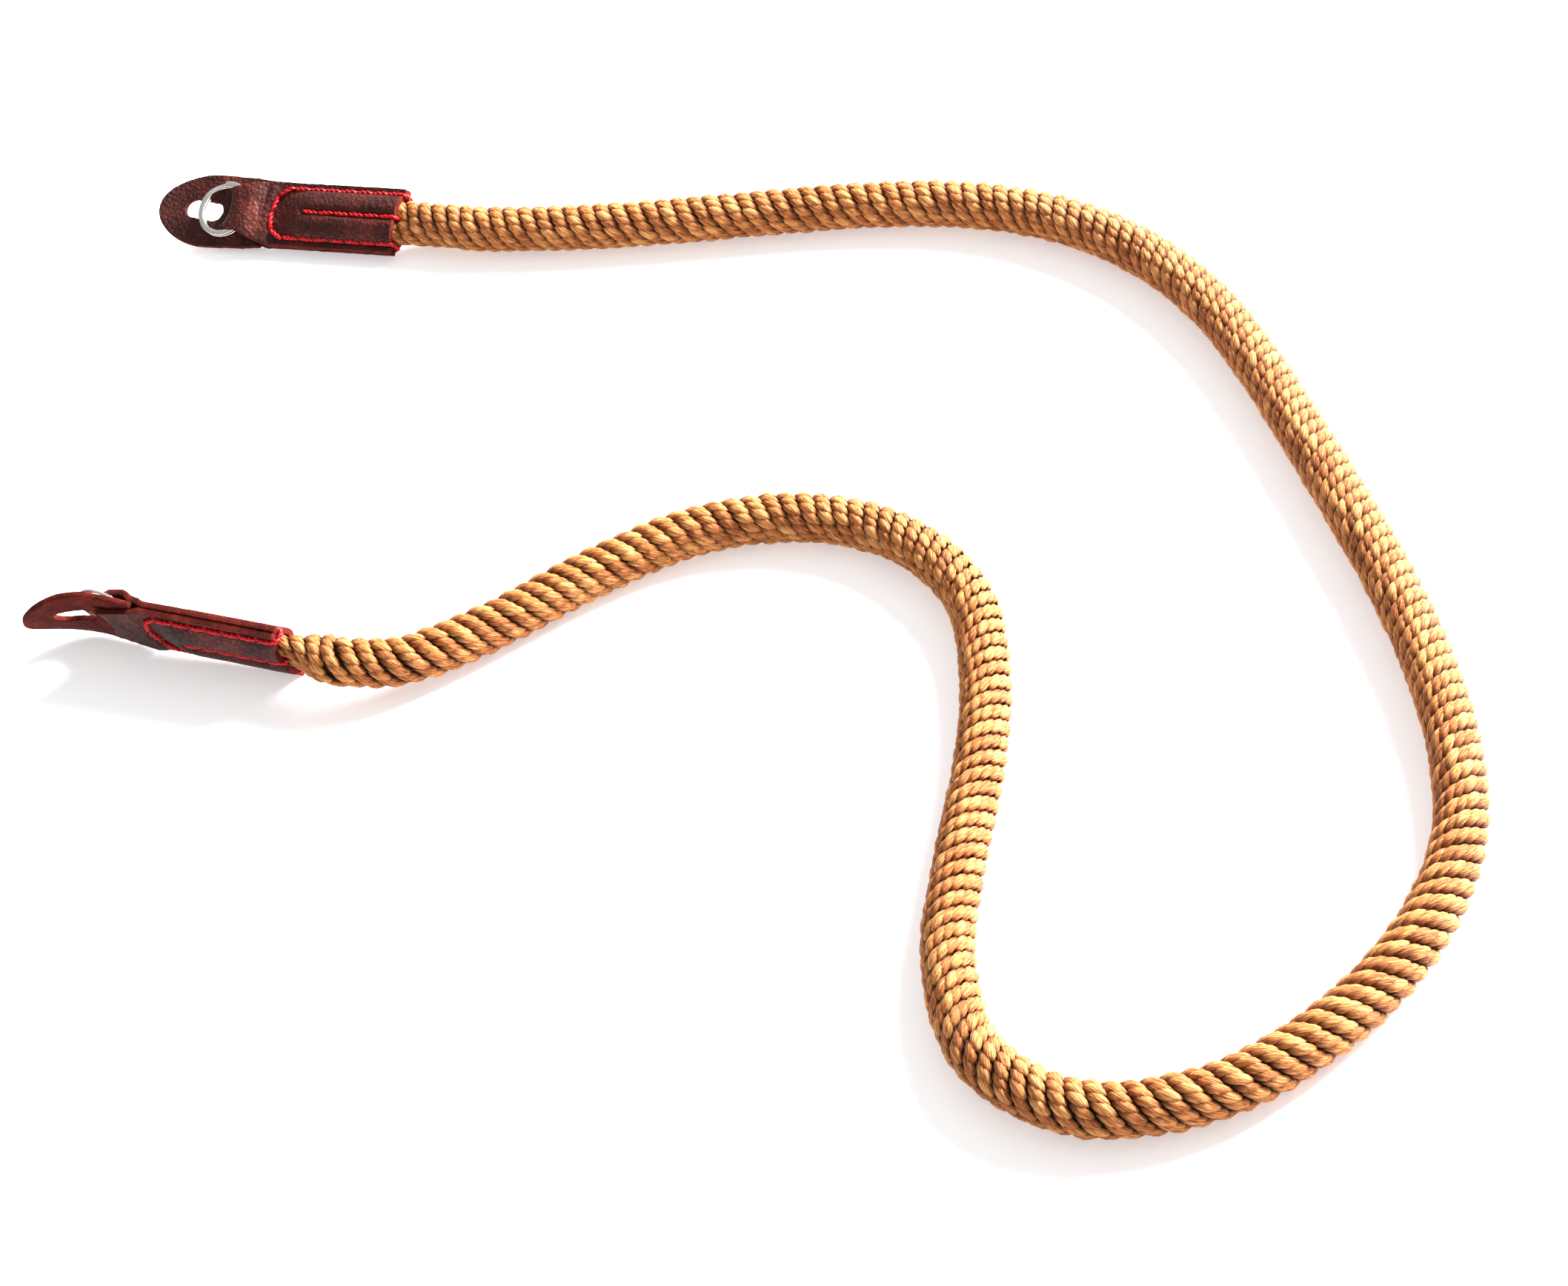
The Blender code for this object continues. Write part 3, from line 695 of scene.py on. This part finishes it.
for side, bend_start, flap_bend, flap_twist in (
    ("far", 0.0115, math.radians(16.0), math.radians(4.0)),
    ("near", 0.0022, math.radians(-36.0), math.radians(-20.0)),
):
    curve = bpy.data.curves.new("flap_blank", "CURVE")
    curve.dimensions = "2D"
    curve.fill_mode = "BOTH"
    curve.extrude = leather / 2.0
    for loop in (outline, slot, slit):
        spline = curve.splines.new("POLY")
        spline.points.add(len(loop) - 1)
        for point, (x, y) in zip(spline.points, loop):
            point.co = (x, y, 0.0, 1.0)
        spline.use_cyclic_u = True
    blank = bpy.data.objects.new("flap_blank", curve)
    bpy.context.scene.collection.objects.link(blank)
    flat_mesh = baked(blank)
    bpy.data.objects.remove(blank)
    merged = bmesh.new()
    merged.from_mesh(flat_mesh)
    bmesh.ops.remove_doubles(merged, verts=merged.verts, dist=1e-6)
    bmesh.ops.recalc_face_normals(merged, faces=merged.faces)
    merged.to_mesh(flat_mesh)
    merged.free()
    blank = show("flap_blank", flat_mesh)
    fine = blank.modifiers.new("even faces", "REMESH")
    fine.mode = "VOXEL"
    fine.voxel_size = 0.00025
    soft = blank.modifiers.new("worn edges", "SMOOTH")
    soft.factor = 0.5
    soft.iterations = 4
    made = baked(blank)
    bpy.data.objects.remove(blank)
    for stuff in (grain, suede):
        made.materials.append(stuff)
    for face in made.polygons:
        face.material_index = 0 if face.normal.z > 0.55 else 1
    start = tab_length + bend_start
    length = flap_tip - start
    radius = length / flap_bend
    for vertex in made.vertices:
        at = Vector((vertex.co.x * 200.0, vertex.co.y * 200.0, bend_start))
        vertex.co.z += 0.00006 * noise.noise(at)
        along = vertex.co.x - start
        if along > 0.0:
            vertex.co = Matrix.Rotation(flap_twist * along / length, 3, "X") @ vertex.co
            turned = along / radius
            reach = radius - vertex.co.z
            vertex.co.x = start + reach * math.sin(turned)
            vertex.co.z = radius - reach * math.cos(turned)
    made.transform(end_frames[side])
    made.shade_smooth()
    flap = show(f"guard_flap_{side}_cut", made)
    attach(flap, "root")
    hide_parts(f"guard_flap_{side}")

# Split rings: flat spring wire wound twice, ground and nickel plated, with a jog where one
# coil crosses to the other. Each lies in the fold on its flap.
scuff = 0.0011
steel, tree, shader = new_material("nickel_plated_steel", Metallic=1.0)
place = add(tree, "ShaderNodeTexCoord").outputs["Object"]
scuffs = add(tree, "ShaderNodeTexNoise", {"Vector": place}, {"Scale": 1.0 / scuff, "Detail": 4.0})
dull = add(
    tree, "ShaderNodeMapRange", {"Value": scuffs.outputs["Fac"]}, {"To Min": 0.06, "To Max": 0.14},
)
tree.links.new(dull.outputs["Result"], shader.inputs["Roughness"])
plate = add(
    tree, "ShaderNodeValToRGB", {"Fac": scuffs.outputs["Fac"]},
    stops=((0.3, "E2E0DC"), (0.7, "F2F0EC")),
)
tree.links.new(plate.outputs["Color"], shader.inputs["Base Color"])
ring_band, wire_height, coil_pitch, coil_jog = 0.0015, 0.00075, 0.0010, math.radians(26.0)
ring_stations, wire_corner = 132, 0.00022
for side, gap_turn in (("far", -52.0), ("near", 60.0)):
    section = []
    for cx, cz, first in ((1, 1, 0), (-1, 1, 90), (-1, -1, 180), (1, -1, 270)):
        for step in range(4):
            angle = math.radians(first + 30.0 * step)
            out = cx * (ring_band / 2.0 - wire_corner) + wire_corner * math.cos(angle)
            up = cz * (wire_height / 2.0 - wire_corner) + wire_corner * math.sin(angle)
            section.append((out, up))
    wire = bmesh.new()
    loops = []
    for i in range(ring_stations + 1):
        angle = coil_jog + (4.0 * math.pi - 2.0 * coil_jog) * i / ring_stations
        crossing = smoothstep(2.0 * math.pi - coil_jog, 2.0 * math.pi + coil_jog, angle)
        height = coil_pitch * (crossing - 0.5)
        turned = angle + math.radians(gap_turn)
        loop = []
        for across_wire, up_wire in section:
            reach = ring_radius - ring_band / 2.0 + across_wire
            x, y = reach * math.cos(turned), reach * math.sin(turned)
            loop.append(wire.verts.new((x, y, height + up_wire)))
        loops.append(loop)
    for a_loop, b_loop in zip(loops, loops[1:]):
        for k in range(len(section)):
            n = (k + 1) % len(section)
            wire.faces.new((a_loop[k], a_loop[n], b_loop[n], b_loop[k]))
    wire.faces.new(loops[0])
    wire.faces.new(loops[-1])
    bmesh.ops.recalc_face_normals(wire, faces=wire.faces)
    mesh = bpy.data.meshes.new("split_ring")
    wire.to_mesh(mesh)
    wire.free()
    mesh.materials.append(steel)
    centre = Vector((tab_length + ring_past_fold, 0.0, throat_down + ring_height / 2.0))
    mesh.transform(end_frames[side] @ Matrix.Translation(centre))
    mesh.shade_smooth()
    mesh.set_sharp_from_angle(angle=math.radians(50.0))
    ring = show(f"split_ring_{side}_wire", mesh)
    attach(ring, "root")
    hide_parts(f"split_ring_{side}")

# Stitches: waxed two-ply thread in red, sewn by hand through all layers, a U round the
# pocket and a row down its middle, on both faces.
thread_width = 0.0014
thread_lift = 0.0005
stitch_length = 0.0048
stitch_dip = 0.0010
ply_offset, ply_radius, ply_taper = 0.17, 0.34, 0.35
wax_grain = 0.00033
red_thread, tree, shader = new_material(
    "waxed_red_thread", Roughness=0.45, Specular_IOR_Level=0.3,
)
place = add(tree, "ShaderNodeTexCoord").outputs["Object"]
fluff = add(
    tree, "ShaderNodeTexNoise", {"Vector": place}, {"Scale": 1.0 / wax_grain, "Detail": 3.0},
)
dye = add(
    tree, "ShaderNodeValToRGB", {"Fac": fluff.outputs["Fac"]},
    stops=((0.3, "9C0610"), (0.52, "D20E18"), (0.75, "EC2A30")),
)
tree.links.new(dye.outputs["Color"], shader.inputs["Base Color"])
relief = add(
    tree, "ShaderNodeBump", {"Height": fluff.outputs["Fac"]}, {"Strength": 0.4, "Distance": 0.0001},
)
tree.links.new(relief.outputs["Normal"], shader.inputs["Normal"])


def twist_thread(made, points, twists):
    """Two plies laid round each other along a line of points, with closed ends."""
    last = len(points) - 1
    sideways = Vector((0.0, 1.0, 0.0))
    for phase in (0.0, math.pi):
        loops = []
        for i, point in enumerate(points):
            ahead = points[min(i + 1, last)] - points[max(i - 1, 0)]
            ahead.normalize()
            upright = ahead.cross(sideways).normalized()
            turn = phase + 2.0 * math.pi * twists * i / last
            aside = sideways * math.cos(turn) + upright * math.sin(turn)
            middle = point + aside * thread_width * ply_offset
            thick = thread_width * ply_radius * (1.0 - ply_taper * abs(2.0 * i / last - 1.0) ** 4)
            loop = []
            for k in range(6):
                angle = math.pi * k / 3.0 + turn
                around = sideways * math.cos(angle) + upright * math.sin(angle)
                loop.append(made.verts.new(middle + around * thick))
            loops.append(loop)
        for a_loop, b_loop in zip(loops, loops[1:]):
            for k in range(6):
                n = (k + 1) % 6
                made.faces.new((a_loop[k], a_loop[n], b_loop[n], b_loop[k]))
        made.faces.new(loops[0])
        made.faces.new(loops[-1])
    bmesh.ops.recalc_face_normals(made, faces=made.faces)


ply = bmesh.new()
line = []
for i in range(13):
    along = i / 12.0
    dip = stitch_dip * abs(2.0 * along - 1.0) ** 8
    line.append(Vector(((along - 0.5) * stitch_length, 0.0, -dip)))
twist_thread(ply, line, 1.5)
stitch_mesh = bpy.data.meshes.new("one_stitch")
ply.to_mesh(stitch_mesh)
ply.free()
stitch_mesh.shade_smooth()
stitch_object = show("one_stitch", stitch_mesh)

sewing = bpy.data.node_groups.new("sewing", "GeometryNodeTree")
for name, kind in (
    ("Seam", "Geometry"), ("Stitch", "Object"), ("Stitches", "Int"), ("Face", "Vector"),
    ("Seed", "Int"), ("Thread", "Material"),
):
    sewing.interface.new_socket(name, in_out="INPUT", socket_type=f"NodeSocket{kind}")
sewing.interface.new_socket("Stitches made", in_out="OUTPUT", socket_type="NodeSocketGeometry")
given = add(sewing, "NodeGroupInput").outputs
steps = add(sewing, "ShaderNodeMath", {0: given["Stitches"]}, {1: 2.0}, operation="MULTIPLY")
steps = add(sewing, "ShaderNodeMath", {0: steps.outputs[0]}, {1: 1.0}, operation="ADD")
row = add(sewing, "GeometryNodeResampleCurve", {"Curve": given["Seam"], "Count": steps.outputs[0]})
spots = add(sewing, "GeometryNodeCurveToPoints", {"Curve": row.outputs["Curve"]}, mode="EVALUATED")
index = add(sewing, "GeometryNodeInputIndex")
odd = add(sewing, "ShaderNodeMath", {0: index.outputs["Index"]}, {1: 2.0}, operation="MODULO")
odd = add(
    sewing, "FunctionNodeCompare", {"A": odd.outputs[0]}, {"B": 0.5},
    data_type="FLOAT", operation="GREATER_THAN",
)
along = add(
    sewing, "FunctionNodeAlignRotationToVector", {"Vector": spots.outputs["Tangent"]}, axis="X",
)
upright = add(
    sewing, "FunctionNodeAlignRotationToVector",
    {"Rotation": along.outputs["Rotation"], "Vector": given["Face"]}, axis="Z", pivot_axis="X",
)
one = add(sewing, "GeometryNodeObjectInfo", {"Object": given["Stitch"]})
placed = add(sewing, "GeometryNodeInstanceOnPoints", {
    "Points": spots.outputs["Points"], "Selection": odd.outputs["Result"],
    "Instance": one.outputs["Geometry"], "Rotation": upright.outputs["Rotation"],
})
tilt = add(sewing, "FunctionNodeRandomValue", {"Seed": given["Seed"]}, {2: -0.07, 3: 0.07})
tilted = add(sewing, "ShaderNodeCombineXYZ", {"Z": tilt.outputs[1]})
turned = add(sewing, "GeometryNodeRotateInstances", {
    "Instances": placed.outputs["Instances"], "Rotation": tilted.outputs["Vector"],
})
real = add(sewing, "GeometryNodeRealizeInstances", {"Geometry": turned.outputs["Instances"]})
dyed = add(sewing, "GeometryNodeSetMaterial", {
    "Geometry": real.outputs["Geometry"], "Material": given["Thread"],
})
finished = add(sewing, "NodeGroupOutput")
sewing.links.new(dyed.outputs["Geometry"], finished.inputs[0])


def outer_face(x, y):
    """Height of the outer face of either layer, where the seams run."""
    return mouth_gap / 2.0 + lobe_height(x, y) + leather - seam_dent(x, y)


# How the last stitches turn over the mouth's edge: x, and how far under the outer face
edge_binding = (
    (0.0030, 0.0004), (0.0018, 0.0), (0.0004, 0.0), (-0.0004, 0.0003), (-0.0007, 0.0010),
)
middle_binding = (
    (0.0030, 0.0004), (0.0018, 0.0), (0.0006, 0.0), (-0.0003, 0.0004), (-0.0005, 0.0012),
    (0.0002, 0.0024),
)
for side in ("far", "near"):
    parts = []
    for facing in (1.0, -1.0):
        for seam, holes in ((u_fine, u_holes), (mid_fine, mid_holes)):
            curve = bpy.data.curves.new("seam", "CURVE")
            curve.dimensions = "3D"
            spline = curve.splines.new("POLY")
            spline.points.add(len(seam) - 1)
            for point, (x, y) in zip(spline.points, seam):
                height = outer_face(x, y - facing * layer_slip(x)) + thread_lift
                point.co = (x, y, facing * height, 1.0)
            guide = bpy.data.objects.new("seam", curve)
            bpy.context.scene.collection.objects.link(guide)
            parts.append(grow(guide, sewing, {
                "Stitch": stitch_object, "Stitches": len(holes) - 1, "Face": (0.0, 0.0, facing),
                "Seed": 7, "Thread": red_thread,
            }))
            bpy.data.objects.remove(guide)
    joined = bmesh.new()
    for part in parts:
        joined.from_mesh(part)
    for y in (seam_half, -seam_half):
        top = outer_face(0.001, y - layer_slip(0.0)) + thread_lift
        base = outer_face(0.001, y + layer_slip(0.0)) + thread_lift
        binding = [Vector((x, y, top - drop)) for x, drop in edge_binding]
        binding.append(Vector((edge_binding[-1][0], y, 0.0)))
        binding += [Vector((x, y, drop - base)) for x, drop in edge_binding[::-1]]
        twist_thread(joined, binding, 3.0)
    top = outer_face(0.001, 0.0) + thread_lift
    for facing in (1.0, -1.0):
        binding = [Vector((x, 0.0, facing * (top - drop))) for x, drop in middle_binding]
        twist_thread(joined, binding, 1.5)
    mesh = bpy.data.meshes.new("stitches")
    joined.to_mesh(mesh)
    joined.free()
    mesh.materials.append(red_thread)
    mesh.transform(end_frames[side])
    mesh.shade_smooth()
    stitches = show(f"stitches_{side}", mesh)
    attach(stitches, "root")
bpy.data.objects.remove(stitch_object)

# Floor and studio light: a flat sheet of white acrylic lit from below, a broad glow and a hard key
# from the right and a little behind, so upright stretches are bright and shadows stay faint.
white = (1.0, 1.0, 1.0, 1.0)
acrylic, tree, shader = new_material(
    "lit_white_acrylic", Roughness=0.9, Base_Color=(0.93, 0.93, 0.93, 1.0),
    Emission_Color=white, Emission_Strength=0.45,
)
ground = bmesh.new()
bmesh.ops.create_grid(ground, x_segments=1, y_segments=1, size=4.0)
mesh = bpy.data.meshes.new("floor")
ground.to_mesh(mesh)
ground.free()
mesh.materials.append(acrylic)
floor = show("floor", mesh)
world = bpy.data.worlds.new("studio")
bpy.context.scene.world = world
world.use_nodes = True
tree = world.node_tree
sky = tree.nodes["Background"]
sky.inputs["Color"].default_value = white
way = add(tree, "ShaderNodeTexCoord").outputs["Generated"]
to_key = Vector((0.80, 0.27, 0.45)).normalized()
key_distance = 1.6
strap_middle = Vector((0.12, -0.12, 0.0))
facing_glow = add(tree, "ShaderNodeVectorMath", {0: way}, {1: to_key}, operation="DOT_PRODUCT")
glow = add(
    tree, "ShaderNodeMapRange", {"Value": facing_glow.outputs["Value"]},
    {"From Min": -0.5, "To Min": 0.22, "To Max": 0.95},
)
tree.links.new(glow.outputs["Result"], sky.inputs["Strength"])
key = bpy.data.lights.new("key", "AREA")
key.energy = 185.0
key.size = 0.8
lamp = bpy.data.objects.new("key", key)
bpy.context.scene.collection.objects.link(lamp)
lamp.location = strap_middle + key_distance * to_key
lamp.rotation_euler = (-to_key).to_track_quat("-Z", "Y").to_euler()
bpy.context.scene.view_settings.view_transform = "Standard"
